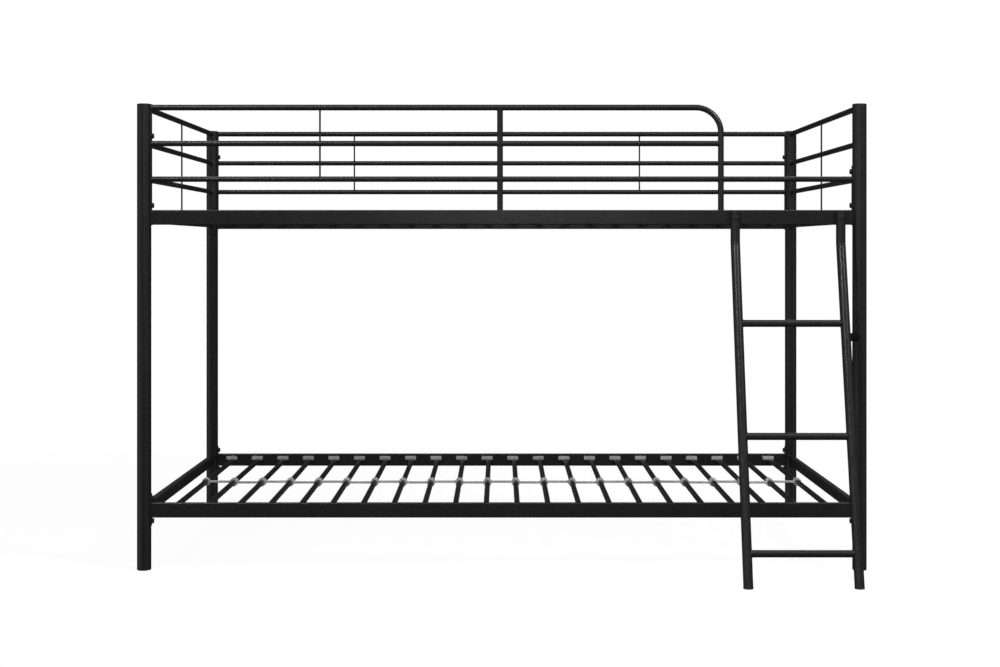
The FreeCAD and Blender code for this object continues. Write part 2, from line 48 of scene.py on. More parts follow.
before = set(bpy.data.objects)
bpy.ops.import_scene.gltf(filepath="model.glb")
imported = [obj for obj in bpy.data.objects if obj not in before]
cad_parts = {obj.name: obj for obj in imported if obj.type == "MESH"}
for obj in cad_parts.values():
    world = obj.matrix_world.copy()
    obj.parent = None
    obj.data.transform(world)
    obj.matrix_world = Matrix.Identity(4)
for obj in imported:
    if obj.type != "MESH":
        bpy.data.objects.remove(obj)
cad_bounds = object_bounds()

X, Y, Z = Vector((1, 0, 0)), Vector((0, 1, 0)), Vector((0, 0, 1))
# Points round a circle, and the crease angle above which an edge is sharp
SEGMENTS = 56
BOLT_SEGMENTS = 48
LINK_SEGMENTS = 32
SMALL_SEGMENTS = 28
LINK_ROD_SEGMENTS = 20
SHARP_DEG = 38

# Sizes that a node's box can't give. In a name: D diameter, R radius, T thickness, W width, H height,
# AF across flats; a lip is the narrow chamfer at the open end of a cap.

# Posts, their caps and the saddle plates
POST_D = 0.0381
POST_END_CHAMFER = 0.0005
CAP_EDGE_R = 0.0018
CAP_LIP = 0.0003
# Radius and depth under the top, round the shallow dish in a post's cap
CAP_DISH = ((0.0122, 0), (0.0118, 0.0002), (0.0112, 0.0005), (0.0108, 0.0006),
            (0.0020, 0.0006), (0.0016, 0.0004), (0.0010, 0.0003))
# How far in from the post's surface, and the height, round the bottom edge of a foot cap
FOOT_ROUND = ((0.0016, 0), (0.0010, 0.0002), (0.0004, 0.0009), (0, 0.0018))
PLATE_T = 0.0022
PLATE_ARC_DEG = 64
PLATE_CORNER_R = 0.003
PLATE_EDGE_R = 0.0005
EDGE_BREAK = 0.3    # where the middle point of a rounded edge lies, as a share of its radius

# Rails, guards and spindles
RAIL_EDGE_R = 0.003
GUARD_TOP_D = 0.0159
GUARD_D = 0.015
HOOP_BEND_R = 0.0675
COPE_MARGIN = 1e-6    # added to the hoop's radius, so that all of the upright's rim meets it
SPINDLE_D = 0.005

# Slats, their sockets and the links between them
SLAT_COUNT = 22
SLAT_D = 0.0154
TAPER_FROM_RAIL = 0.037
TAPER_LEN = 0.022
TONGUE_W = 0.024
TONGUE_T = 0.003
TONGUE_IN_RAIL = 0.004
TONGUE_POWER_W = 0.9    # below 1, these make the tongue's outline squarer than an oval
TONGUE_POWER_T = 0.28
SOCKET_W = 0.036
SOCKET_H = 0.012
SOCKET_T = 0.0015
SOCKET_OFFSET = 0.005
SOCKET_CORNER_R = 0.0006
SOCKET_EDGE_R = 0.7 * SOCKET_CORNER_R
SOCKET_GUARD = 0.0002
LINK_RING_D = 0.024
LINK_RING_LEN = 0.015
LINK_RING_EDGE_R = 0.0012
LINK_BORE_EDGE_R = 0.0005
LINK_BORE_CLEARANCE = 0.00005
LINK_ROD_D = 0.0072
LINK_SWELL = 0.0018     # added to the rod's radius where it meets a ring, fading over the steps below
LINK_SWELL_AT = (0.0, 0.0008, 0.0017, 0.0028, 0.0042)

# Ladder
STILE_D = 0.0254
STILE_AHEAD = 0.014
STILE_CAP_T = 0.0025
STILE_CAP_EDGE_R = 0.0008
STILE_BEND_Z = 0.881
STILE_BEND_R = 0.090
NOTCH_STEP = 0.0001    # height over which the notch for the upper rail ends
STILE_LEAN = math.tan(math.radians(14.4))
RUNG_D = 0.019
LADDER_CAP_D = 0.026
SOLE_EDGE_R = 0.0006
SOLE_LIP = 0.0002

# Bolts and washers
BOLT_HEAD_D = 0.014
BOLT_HEAD_H = 0.0047
BOLT_CROWN = 0.0008
BOLT_SOCKET_AF = 0.005
BOLT_SOCKET_DEPTH = 0.0026
BOLT_CLEAR_D = 0.0086
# Softened edges of a bolt head, and the flare at the mouth and the end of its hexagon socket
HEAD_FOOT_R = 0.0003
HEAD_EDGE_R = 0.0002
HEAD_EDGE_IN = 0.0001
SOCKET_MOUTH = 1.12    # a share of the hexagon's corner radius
SOCKET_MOUTH_DEPTH = 0.0003
SOCKET_END = 0.3       # a share of the size across flats
SOCKET_END_DEPTH = 0.0004
LOWER_BOLTS_Z = (0.132, 0.193)
UPPER_BOLTS_Z = (0.9827, 1.170)
SHORT_PLATE_BOLTS_Z = (0.9827, 1.074)
WASHER_CREST_T = 0.0008
WASHER_EDGE_R = 0.0002
LADDER_BOLT_Z = 0.9495
LADDER_BOLT_HEAD_D = 0.011
LADDER_BOLT_HEAD_H = 0.003
LADDER_BOLT_CROWN = 0.0016
LADDER_BOLT_SOCKET_AF = 0.004
LADDER_BOLT_SOCKET_DEPTH = 0.002
LADDER_BOLT_SHOULDER = 0.002
SHOULDER_IN = (0.0006, 0.0004)    # how much less than the head's radius, at the tube and at the head

# Stay between the right stile and the post
STAY_Z = 0.6295
STAY_STILE_D = 0.0205
STAY_POST_D = 0.024
STAY_ASIDE = 0.005
STAY_GROOVE = 0.0004
STAY_GROOVES = 5

# Weld beads
WELD_R = 0.0013
SMALL_WELD_R = 0.0007
WELD_RIPPLE = 0.0017
WELD_STEPS = 5
WELD_SIDES = 8
WELD_VALLEY = 0.84      # thickness between two ripples, as a share of their crests
WELD_THINNEST = 0.94

POST_R = POST_D / 2
PLATE_R = POST_R + PLATE_T


def middle(node):
    """The middle of a node's box."""
    low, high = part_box(node)
    return (low + high) / 2


POSTS = {n: middle("post_" + n) for n in ("front_left", "front_right", "rear_left", "rear_right")}
FRONT_Y = POSTS["front_left"].y
REAR_Y = POSTS["rear_left"].y
LEFT_X = POSTS["front_left"].x
RIGHT_X = POSTS["front_right"].x
BED_H = cad_bounds[1].z
STILE_Y = FRONT_Y - STILE_AHEAD
STILE_X = {side: middle("ladder_stile_" + side).x for side in ("left", "right")}
RAIL_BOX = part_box("upper_front_side_rail")
RAIL_W = RAIL_BOX[1].y - RAIL_BOX[0].y
RAIL_H = RAIL_BOX[1].z - RAIL_BOX[0].z
RAIL_BOTTOM = RAIL_BOX[0].z
RAIL_TOP = RAIL_BOX[1].z
GUARD_Z = {level: middle(f"rear_guard_{level}_rail").z for level in ("top", "middle", "lower")}
GUARD_SIZE = {"top": GUARD_TOP_D, "middle": GUARD_D, "lower": GUARD_D}


# ---------------------------------------------------------------- materials

def shader(name, base, roughness, metallic=0.0):
    """A material with a plain Principled shader, and what the makers below need to build on it."""
    material = bpy.data.materials.new(name)
    material.use_nodes = True
    nodes, links = material.node_tree.nodes, material.node_tree.links
    principled = nodes["Principled BSDF"]
    principled.inputs["Base Color"].default_value = (*base, 1)
    principled.inputs["Roughness"].default_value = roughness
    principled.inputs["Metallic"].default_value = metallic
    place = nodes.new("ShaderNodeTexCoord").outputs["Object"]
    return material, nodes, links, principled, place


def noise(nodes, links, place, scale, detail=2.0, roughness=0.5, stretch=None):
    """Noise in object space, stretched along an axis where stretch is given."""
    if stretch:
        mapping = nodes.new("ShaderNodeMapping")
        mapping.inputs["Scale"].default_value = stretch
        links.new(place, mapping.inputs["Vector"])
        place = mapping.outputs["Vector"]
    texture = nodes.new("ShaderNodeTexNoise")
    texture.inputs["Scale"].default_value = scale
    texture.inputs["Detail"].default_value = detail
    texture.inputs["Roughness"].default_value = roughness
    links.new(place, texture.inputs["Vector"])
    return texture.outputs["Fac"]


def spread(nodes, links, value, low, high, start=0.3, end=0.7):
    """Maps a value from start..end to low..high, clamped."""
    node = nodes.new("ShaderNodeMapRange")
    for socket, number in (("From Min", start), ("From Max", end), ("To Min", low), ("To Max", high)):
        node.inputs[socket].default_value = number
    links.new(value, node.inputs["Value"])
    return node.outputs["Result"]


def blend(nodes, links, factor, dark, light):
    """A colour between dark and light."""
    mix = nodes.new("ShaderNodeMix")
    mix.data_type = "RGBA"
    links.new(factor, mix.inputs[0])
    mix.inputs[6].default_value = (*dark, 1)
    mix.inputs[7].default_value = (*light, 1)
    return mix.outputs[2]


def bumps(nodes, links, principled, layers):
    """Chains bump nodes from (height, strength, distance) layers into the shader's normal."""
    normal = None
    for height, strength, distance in layers:
        bump = nodes.new("ShaderNodeBump")
        bump.inputs["Strength"].default_value = strength
        bump.inputs["Distance"].default_value = distance
        links.new(height, bump.inputs["Height"])
        if normal:
            links.new(normal, bump.inputs["Normal"])
        normal = bump.outputs["Normal"]
    links.new(normal, principled.inputs["Normal"])


def powder_coat(dark, light, rough, peel_bump, speck_bump):
    """Satin black powder coat: faint orange peel, and a film that varies slightly in gloss."""
    material, nodes, links, principled, place = shader("frame_black", dark, rough[0])
    principled.inputs["Specular IOR Level"].default_value = 0.5
    cloud = noise(nodes, links, place, scale=9, detail=3)
    film = noise(nodes, links, place, scale=60, detail=3, roughness=0.6)
    peel = noise(nodes, links, place, scale=520, roughness=0.45)
    speck = noise(nodes, links, place, scale=1500, detail=1)
    links.new(blend(nodes, links, spread(nodes, links, cloud, 0, 1), dark, light),
              principled.inputs["Base Color"])
    links.new(spread(nodes, links, film, *rough), principled.inputs["Roughness"])
    bumps(nodes, links, principled, [(peel, *peel_bump), (speck, *speck_bump)])
    return material


def moulded(name, dark, light, rough, grain_scale, grain_depth, gloss=0.5):
    """Moulded plastic or rubber with a fine grained skin."""
    material, nodes, links, principled, place = shader(name, dark, rough[0])
    principled.inputs["Specular IOR Level"].default_value = gloss
    cloud = noise(nodes, links, place, scale=45, detail=3)
    grain = noise(nodes, links, place, grain_scale, detail=3, roughness=0.6)
    links.new(blend(nodes, links, spread(nodes, links, cloud, 0, 1), dark, light),
              principled.inputs["Base Color"])
    links.new(spread(nodes, links, grain, *rough), principled.inputs["Roughness"])
    bumps(nodes, links, principled, [(grain, GRAIN_STRENGTH, grain_depth)])
    return material


def metal(name, dark, light, rough, metallic, brushed, gloss=0.5):
    """Plated or blackened steel with fine turning marks."""
    material, nodes, links, principled, place = shader(name, dark, rough[0], metallic)
    principled.inputs["Specular IOR Level"].default_value = gloss
    cloud = noise(nodes, links, place, scale=160, detail=3, roughness=0.6)
    marks = noise(nodes, links, place, scale=900, stretch=brushed)
    links.new(blend(nodes, links, spread(nodes, links, cloud, 0, 1), dark, light),
              principled.inputs["Base Color"])
    links.new(spread(nodes, links, cloud, *rough), principled.inputs["Roughness"])
    bumps(nodes, links, principled, [(marks, *MARKS_BUMP)])
    return material


# A bump is its strength and its distance in metres
GRAIN_STRENGTH = 0.22
MARKS_BUMP = (0.12, 0.0001)
MATERIALS = {
    "frame_black": powder_coat(dark=(0.0095, 0.0095, 0.0100), light=(0.0150, 0.0148, 0.0150),
                               rough=(0.25, 0.33), peel_bump=(0.06, 0.0003), speck_bump=(0.03, 0.0001)),
    "cap_black": moulded("cap_black", dark=(0.012, 0.012, 0.012), light=(0.020, 0.020, 0.020),
                         rough=(0.46, 0.6), grain_scale=1400, grain_depth=0.0002),
    "fastener_black": metal("fastener_black", dark=(0.007, 0.007, 0.008), light=(0.014, 0.014, 0.013),
                            rough=(0.34, 0.48), metallic=0.0, brushed=(1, 1, 1), gloss=0.3),
    "insert_steel": metal("insert_steel", dark=(0.42, 0.42, 0.41), light=(0.58, 0.58, 0.60),
                          rough=(0.26, 0.42), metallic=1.0, brushed=(1, 1, 4)),
    "slat_plastic_grey": moulded("slat_plastic_grey", dark=(0.465, 0.467, 0.47),
                                 light=(0.535, 0.537, 0.54), rough=(0.42, 0.56),
                                 grain_scale=1100, grain_depth=0.0002),
    "stay_rubber": moulded("stay_rubber", dark=(0.003, 0.003, 0.003), light=(0.006, 0.006, 0.006),
                           rough=(0.62, 0.8), grain_scale=900, grain_depth=0.0003, gloss=0.15),
}


# ---------------------------------------------------------------- mesh tools

class Shell:
    """Closed surfaces gathered for one piece."""

    def __init__(self):
        self.points, self.faces = [], []

    def loft(self, rings, looped=False, capped=True):
        """Skins rings of equal point counts. A looped run joins its last ring to its first."""
        base, n = len(self.points), len(rings[0])
        for ring in rings:
            self.points.extend(ring)
        for k in range(len(rings) if looped else len(rings) - 1):
            a, b = base + k * n, base + (k + 1) % len(rings) * n
            self.faces += [(a + i, a + (i + 1) % n, b + (i + 1) % n, b + i) for i in range(n)]
        if capped and not looped:
            for start, ring in ((base, rings[0]), (base + (len(rings) - 1) * n, rings[-1])):
                hub = len(self.points)
                self.points.append(sum(ring, Vector()) / n)
                self.faces += [(hub, start + i, start + (i + 1) % n) for i in range(n)]

    def piece(self, name, slot, *nodes, sharp=SHARP_DEG):
        """Makes the Blender piece, in place of the CAD nodes named."""
        mesh = bpy.data.meshes.new(name)
        mesh.from_pydata(self.points, [], self.faces)
        work = bmesh.new()
        work.from_mesh(mesh)
        bmesh.ops.recalc_face_normals(work, faces=work.faces[:])
        work.to_mesh(mesh)
        work.free()
        mesh.materials.append(MATERIALS[slot])
        mesh.shade_smooth()
        mesh.set_sharp_from_angle(angle=math.radians(sharp))
        piece = bpy.data.objects.new(name, mesh)
        bpy.context.scene.collection.objects.link(piece)
        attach(piece, "root")
        if nodes:
            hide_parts(*nodes)
        return piece


MOSTLY = 0.7    # the share of a unit direction above which it counts as lying along an axis


def side_axes(direction):
    """Two unit vectors square to a direction: for one along a main axis, the other two."""
    if abs(direction.z) > MOSTLY:
        u = X - direction * direction.x
    elif abs(direction.x) >= MOSTLY:
        u = Y - direction * direction.y
    else:
        u = direction.cross(Z)
    u.normalize()
    return u, direction.cross(u).normalized()


def around(centre, u, v, r, n=SEGMENTS):
    """A ring of points about a centre, in the plane of u and v."""
    return [centre + (u * math.cos(a) + v * math.sin(a)) * r for a in (2 * math.pi * k / n for k in range(n))]


def circle(r, n=SEGMENTS):
    """Outline of a round bar."""
    return [(r * math.cos(2 * math.pi * k / n), r * math.sin(2 * math.pi * k / n)) for k in range(n)]


def rounded_box(width, height, r, corner_steps=6, wall_steps=8, guard=0.0004):
    """Outline of a box bar. Guard points beside each corner keep the flat walls looking flat."""
    outline = []
    for k in range(4):
        turn = k * math.pi / 2
        c, s = math.cos(turn), math.sin(turn)
        half_a, half_b = (width / 2, height / 2) if k % 2 == 0 else (height / 2, width / 2)
        flat = 2 * (half_b - r)
        marks = [guard] + [flat * j / wall_steps for j in range(1, wall_steps)] + [flat - guard]
        local = [(half_a, -half_b + r + m) for m in marks]
        local += [(half_a - r + r * math.cos(a), half_b - r + r * math.sin(a))
                  for a in (math.pi / 2 * j / corner_steps for j in range(corner_steps + 1))]
        outline += [(x * c - y * s, x * s + y * c) for x, y in local]
    return outline


def meet(point, direction, cylinder):
    """Where a line from point first meets a cylinder given as (a point on its axis, axis, radius)."""
    on_axis, axis, r = cylinder
    p = point - on_axis
    p -= axis * p.dot(axis)
    d = direction - axis * direction.dot(axis)
    a, b, c = d.dot(d), p.dot(d), p.dot(p) - r * r
    t = (-b - math.sqrt(max(b * b - a * c, 0))) / a
    return point + direction * t


def bar(shell, start, end, outline, cut_start=None, cut_end=None):
    """A straight bar, its ends square or coped to a cylinder. Gives the two end rims."""
    direction = (end - start).normalized()
    u, v = side_axes(direction)
    centre = (start + end) / 2
    first, last = [], []
    for a, b in outline:
        side = u * a + v * b
        first.append(meet(centre + side, -direction, cut_start) if cut_start else start + side)
        last.append(meet(centre + side, direction, cut_end) if cut_end else end + side)
    shell.loft([first, last])
    return first, last


def resample(loop, n):
    """n points spaced evenly along a closed loop."""
    lengths = [(loop[(i + 1) % len(loop)] - p).length for i, p in enumerate(loop)]
    total, out, i, passed = sum(lengths), [], 0, 0.0
    for k in range(n):
        along = total * k / n
        while passed + lengths[i] < along:
            passed += lengths[i]
            i += 1
        out.append(loop[i].lerp(loop[(i + 1) % len(loop)], (along - passed) / max(lengths[i], 1e-9)))
    return out


draws = random.Random(11)


def weld(shell, rim, r=WELD_R):
    """A rippled bead along a closed rim."""
    length = sum((rim[(i + 1) % len(rim)] - p).length for i, p in enumerate(rim))
    pitch = WELD_RIPPLE * r / WELD_R
    n = max(6, round(length / pitch)) * WELD_STEPS
    loop = resample(rim, n)
    hub = sum(loop, Vector()) / n
    r *= draws.uniform(WELD_THINNEST, 1.0)
    rings = []
    for i, p in enumerate(loop):
        tangent = (loop[(i + 1) % n] - loop[i - 1]).normalized()
        out = p - hub
        out = (out - tangent * out.dot(tangent)).normalized()
        rise = tangent.cross(out)
        crest = math.sin(math.pi * (i % WELD_STEPS + 0.5) / WELD_STEPS)
        size = r * (WELD_VALLEY + (1 - WELD_VALLEY) * crest)
        rings.append([p + (out * math.cos(a) + rise * math.sin(a)) * size
                      for a in (2 * math.pi * s / WELD_SIDES for s in range(WELD_SIDES))])
    shell.loft(rings, looped=True)


def welded_bar(shell, welds, start, end, outline, cut_start, cut_end, r=WELD_R):
    """A straight bar with a weld bead round each end."""
    for rim in bar(shell, start, end, outline, cut_start, cut_end):
        weld(welds, rim, r)


def turned(shell, origin, axis, profile, n=SEGMENTS, looped=False):
    """A turned part from (radius, height) pairs along an axis."""
    u, v = side_axes(axis)
    shell.loft([around(origin + axis * h, u, v, r, n) for r, h in profile], looped)


def arc(centre_r, centre_h, r, start_deg, end_deg, steps=5):
    """Profile points along a rounded edge."""
    return [(centre_r + r * math.cos(math.radians(a)), centre_h + r * math.sin(math.radians(a)))
            for a in (start_deg + (end_deg - start_deg) * k / steps for k in range(steps + 1))]


def sweep(shell, path, r, trim_start, trim_end):
    """A round bar along (point, direction) stations in a plane, trimmed at both ends. Gives its rims."""
    side = side_axes(path[0][1])[0]
    rings = []
    for p, direction in path:
        side = (side - direction * side.dot(direction)).normalized()
        rings.append(around(p, side, direction.cross(side), r))
    rings[0] = [trim_start(q) for q in rings[0]]
    rings[-1] = [trim_end(q) for q in rings[-1]]
    shell.loft(rings)
    return rings[0], rings[-1]


def bend(start, corner, end, r, steps=20):
    """Stations along a path with one rounded corner."""
    to_start, to_end = (start - corner).normalized(), (end - corner).normalized()
    half = to_start.angle(to_end) / 2
    setback = r / math.tan(half)
    centre = corner + (to_start + to_end).normalized() * (r / math.sin(half))
    first = corner + to_start * setback
    out = first - centre
    turn = math.pi - 2 * half
    stations = [(start, -to_start)]
    for k in range(steps + 1):
        a = turn * k / steps
        radial = out * math.cos(a) - to_start * (math.sin(a) * r)
        stations.append((centre + radial, (-to_start * math.cos(a) - out.normalized() * math.sin(a))))
    stations.append((end, to_end))
    return stations


# ---------------------------------------------------------------- camera, light and floor

CAMERA_X = -0.00486
CAMERA_AHEAD = 4.294
CAMERA_Z = 0.8712
SENSOR_W = 36
LENS = 57.276
LENS_SHIFT = -0.0867

# Strength of the room by direction. A span is of the direction's Y, Z, X squared, X, and Y and Z again
ROOM_FRONT, ROOM_BACK, DEPTH_SPAN = 0.176, 0.03, (-0.5, 0.6)
ROOM_BELOW, ROOM_ABOVE, HEIGHT_SPAN = 0.95, 1.0, (-0.35, 0.1)
ROOM_AHEAD, ROOM_SIDES, SIDE_SPAN = 0.6, 1.4, (0.0, 0.7)
ROOM_LEFT, ROOM_RIGHT, ACROSS_SPAN = 2.0, 1.1, (-0.75, 0.0)
ROOM_BEHIND, BEHIND_SPAN, HORIZON_SPAN = 0.14, (0.45, 0.85), (-0.36, -0.18)
# Name, place, aim, size, power and beam angle of each softbox; the left key is a beam on the ladder
SOFTBOXES = (
    ("key_left", (-2.0, -4.4, 4.1), (0.8, -0.45, 0.6), (0.75, 1.5), 7.9, 48),
    ("key_right", (3.8, -3.5, 4.0), (0.3, -0.2, 0.6), (0.75, 1.5), 130, 180),
    ("overhead", (0, -2.2, 4.3), (0, -0.2, 0.5), (3.6, 1.4), 42, 180),
    ("front_pool", (0.1, -5.6, 1.5), (0, -0.4, 0.8), (1.3, 1.0), 7, 180),
    ("back_left", (-2.6, 4.4, 4.2), (0, 0, 0.6), (1.6, 1.6), 42, 180),
    ("back_right", (2.6, 4.4, 4.2), (0, 0, 0.6), (1.6, 1.6), 42, 180),
)
ROOM_COLOUR = (0.96, 0.98, 1.0)
FLOOR_HALF = 60
FLOOR_GREY = 0.16
FLOOR_ROUGHNESS = 0.9
# The floor's own glow, from this near the middle up to 1 at the far distance
FLOOR_GLOW_NEAR = 0.91
FLOOR_NEAR = 2.0
FLOOR_FAR = 7.0


def studio():
    scene = bpy.context.scene
    scene.view_settings.view_transform = "Standard"
    camera = bpy.data.objects.new("camera", bpy.data.cameras.new("camera"))
    scene.collection.objects.link(camera)
    camera.location = (CAMERA_X, FRONT_Y - CAMERA_AHEAD, CAMERA_Z)
    camera.rotation_euler = (math.radians(90), 0, 0)
    camera.data.sensor_width = SENSOR_W
    camera.data.lens = LENS
    camera.data.shift_y = LENS_SHIFT
    scene.camera = camera

    world = bpy.data.worlds.new("studio")
    scene.world = world
    world.use_nodes = True
    nodes, links = world.node_tree.nodes, world.node_tree.links
    nodes.clear()
    seen = nodes.new("ShaderNodeBackground")
    seen.inputs["Color"].default_value = (1, 1, 1, 1)
    seen.inputs["Strength"].default_value = 1.0
    # The room: brightest in front and on the left, dim behind but for a glow under the horizon
    axes = nodes.new("ShaderNodeSeparateXYZ")
    links.new(nodes.new("ShaderNodeTexCoord").outputs["Generated"], axes.inputs[0])
    toward_x, toward_y, toward_z = axes.outputs

    def combine(operation, first, *others):
        for other in others:
            node = nodes.new("ShaderNodeMath")
            node.operation = operation
            links.new(first, node.inputs[0])
            links.new(other, node.inputs[1])
            first = node.outputs[0]
        return first

    depth = spread(nodes, links, toward_y, ROOM_FRONT, ROOM_BACK, *DEPTH_SPAN)
    height = spread(nodes, links, toward_z, ROOM_BELOW, ROOM_ABOVE, *HEIGHT_SPAN)
    aside = combine("MULTIPLY", toward_x, toward_x)
    aside = spread(nodes, links, aside, ROOM_AHEAD, ROOM_SIDES, *SIDE_SPAN)
    across = spread(nodes, links, toward_x, ROOM_LEFT, ROOM_RIGHT, *ACROSS_SPAN)
    behind = spread(nodes, links, toward_y, 0, ROOM_BEHIND, *BEHIND_SPAN)
    low = spread(nodes, links, toward_z, 1, 0, *HORIZON_SPAN)
    strength = combine("ADD", combine("MULTIPLY", depth, height, aside, across),
                       combine("MULTIPLY", behind, low))
    room = nodes.new("ShaderNodeBackground")
    room.inputs["Color"].default_value = (*ROOM_COLOUR, 1)
    links.new(strength, room.inputs["Strength"])
    path = nodes.new("ShaderNodeLightPath")
    pick = nodes.new("ShaderNodeMixShader")
    output = nodes.new("ShaderNodeOutputWorld")
    links.new(path.outputs["Is Camera Ray"], pick.inputs[0])
    links.new(room.outputs[0], pick.inputs[1])
    links.new(seen.outputs[0], pick.inputs[2])
    links.new(pick.outputs[0], output.inputs["Surface"])

    for name, place, aim, size, power, beam_deg in SOFTBOXES:
        lamp = bpy.data.lights.new(name, "AREA")
        lamp.spread = math.radians(beam_deg)
        lamp.shape = "RECTANGLE"
        lamp.size, lamp.size_y = size
        lamp.energy = power
        box = bpy.data.objects.new(name, lamp)
        box.location = place
        box.rotation_euler = (Vector(aim) - Vector(place)).to_track_quat("-Z", "Y").to_euler()
        scene.collection.objects.link(box)

    mesh = bpy.data.meshes.new("floor")
    corners = ((-1, -1), (1, -1), (1, 1), (-1, 1))
    mesh.from_pydata([(x * FLOOR_HALF, y * FLOOR_HALF, 0) for x, y in corners], [], [(0, 1, 2, 3)])
    floor = bpy.data.objects.new("floor", mesh)
    scene.collection.objects.link(floor)
    material, nodes, links, principled, place = shader("floor_white", (FLOOR_GREY,) * 3, FLOOR_ROUGHNESS)
    principled.inputs["Specular IOR Level"].default_value = 0.0
    principled.inputs["Emission Color"].default_value = (1, 1, 1, 1)
    # The glow makes up for the lamps' fall-off, so that the floor meets the backdrop unseen
    distance = nodes.new("ShaderNodeVectorMath")
    distance.operation = "LENGTH"
    links.new(place, distance.inputs[0])
    glow = spread(nodes, links, distance.outputs["Value"], FLOOR_GLOW_NEAR, 1.0, FLOOR_NEAR, FLOOR_FAR)
    links.new(glow, principled.inputs["Emission Strength"])
    mesh.materials.append(material)
    floor.visible_glossy = False
    floor.visible_diffuse = False


# ---------------------------------------------------------------- posts, plates and bolts

def inward(name):
    """Which way along X the bed lies from a post."""
    return 1 if POSTS[name].x < 0 else -1


def on_post(name, z=0.0):
    """The point on a post's axis at a height."""
    return Vector((POSTS[name].x, POSTS[name].y, z))


def upright_axis(name, r):
    """A cylinder about a post's axis."""
    return on_post(name), Z, r


def posts():
    c = POST_END_CHAMFER
    for name in POSTS:
        low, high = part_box("post_" + name)
        shell = Shell()
        turned(shell, on_post(name), Z,
               [(POST_R - c, low.z), (POST_R, low.z + c), (POST_R, high.z - c), (POST_R - c, high.z)])
        shell.piece("post_tube_" + name, "frame_black", "post_" + name)


def post_caps():
    low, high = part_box("post_front_left")
    tops, feet = Shell(), Shell()
    e, lip = CAP_EDGE_R, CAP_LIP
    top = [(POST_R - lip, high.z), (POST_R, high.z + lip)]
    top += arc(POST_R - e, BED_H - e, e, 0, 90, 7)
    top += [(r, BED_H - depth) for r, depth in CAP_DISH]
    foot = [(POST_R - inset, z) for inset, z in FOOT_ROUND]
    foot += [(POST_R, low.z - lip), (POST_R - lip, low.z)]
    for name in POSTS:
        turned(tops, on_post(name), Z, top)
        turned(feet, on_post(name), Z, foot)
    tops.piece("post_cap_tops", "cap_black", "post_top_caps")
    feet.piece("post_cap_feet", "cap_black", "post_foot_caps")


def saddle_plate(name, node):
    """A curved plate on the inboard side of a post, with rounded corners and softened edges."""
    low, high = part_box(node)
    half_arc = math.radians(PLATE_ARC_DEG / 2)
    mid_r = POST_R + PLATE_T / 2
    half_w = half_arc * mid_r
    half_h = (high.z - low.z) / 2
    z0 = (high.z + low.z) / 2
    e = PLATE_EDGE_R

    def outline(inset, corner_steps=5, across_steps=12):
        """Points round the plate, flattened out, drawn in by inset."""
        r = PLATE_CORNER_R - inset
        w, h = half_w - inset, half_h - inset
        points = []
        for k, (sx, sy) in enumerate(((1, 1), (-1, 1), (-1, -1), (1, -1))):
            arcs = [math.pi / 2 * (k + j / corner_steps) for j in range(corner_steps + 1)]
            points += [(sx * (w - r) + r * math.cos(a), sy * (h - r) + r * math.sin(a)) for a in arcs]
            if sx * sy > 0:     # across the end of the plate
                points += [(sx * (w - r) * (1 - 2 * j / across_steps), sy * h)
                           for j in range(1, across_steps)]
        return points

    def wrapped(points, r):
        """Flat points wrapped round the post at radius r."""
        return [Vector((POSTS[name].x + inward(name) * r * math.cos(s / mid_r),
                        POSTS[name].y + r * math.sin(s / mid_r), z0 + t)) for s, t in points]

    shell = Shell()
    rings = [wrapped(outline(0), POST_R), wrapped(outline(0), PLATE_R - e),
             wrapped(outline(EDGE_BREAK * e), PLATE_R - EDGE_BREAK * e), wrapped(outline(e), PLATE_R)]
    shell.loft(rings, capped=False)
    # The two curved faces: strips between neighbouring columns of the outline's points
    flat = outline(e)
    n = len(flat)
    columns = {}
    for i in sorted(range(n), key=lambda i: (round(flat[i][0], 7), flat[i][1])):
        columns.setdefault(round(flat[i][0], 6), []).append(i)
    keys = sorted(columns)
    for start in (0, (len(rings) - 1) * n):
        for left, right in zip(keys, keys[1:]):
            strip = columns[left] + columns[right][::-1]
            shell.faces.append([start + i for i in strip])
    return shell


def plates():
    for name in POSTS:
        for level in ("upper", "lower"):
            node = f"{level}_plate_{name}"
            saddle_plate(name, node).piece(f"saddle_{level}_{name}", "frame_black", node)


def bolt_head(shell, seat, axis, head_d, head_h, crown, across_flats, depth):
    """A head with a slight crown and a hexagon socket, standing on its seat."""
    u, v = side_axes(axis)
    head_r = head_d / 2
    sphere_r = (head_r ** 2 + crown ** 2) / (2 * crown)
    profile = [(head_r - HEAD_FOOT_R, 0), (head_r, HEAD_FOOT_R), (head_r, head_h - crown - HEAD_EDGE_R)]
    brow = head_r - HEAD_EDGE_IN
    mouth = across_flats / math.sqrt(3) * SOCKET_MOUTH
    steps = 8
    for k in range(steps + 1):
        r = brow - (brow - mouth) * k / steps
        profile.append((r, head_h - sphere_r + math.sqrt(sphere_r ** 2 - r * r)))
    rings = [around(seat + axis * h, u, v, r, BOLT_SEGMENTS) for r, h in profile]

    def hexagon(size, h):
        """A ring of a hexagon's outline, size across its flats."""
        points = []
        for a in (2 * math.pi * k / BOLT_SEGMENTS for k in range(BOLT_SEGMENTS)):
            off = (a + math.pi / 6) % (math.pi / 3) - math.pi / 6
            points.append(seat + axis * h + (u * math.cos(a) + v * math.sin(a)) * (size / 2 / math.cos(off)))
        return points

    top = profile[-1][1]
    rings += [hexagon(across_flats, top - SOCKET_MOUTH_DEPTH), hexagon(across_flats, head_h - depth),
              hexagon(across_flats * SOCKET_END, head_h - depth - SOCKET_END_DEPTH)]
    shell.loft(rings)


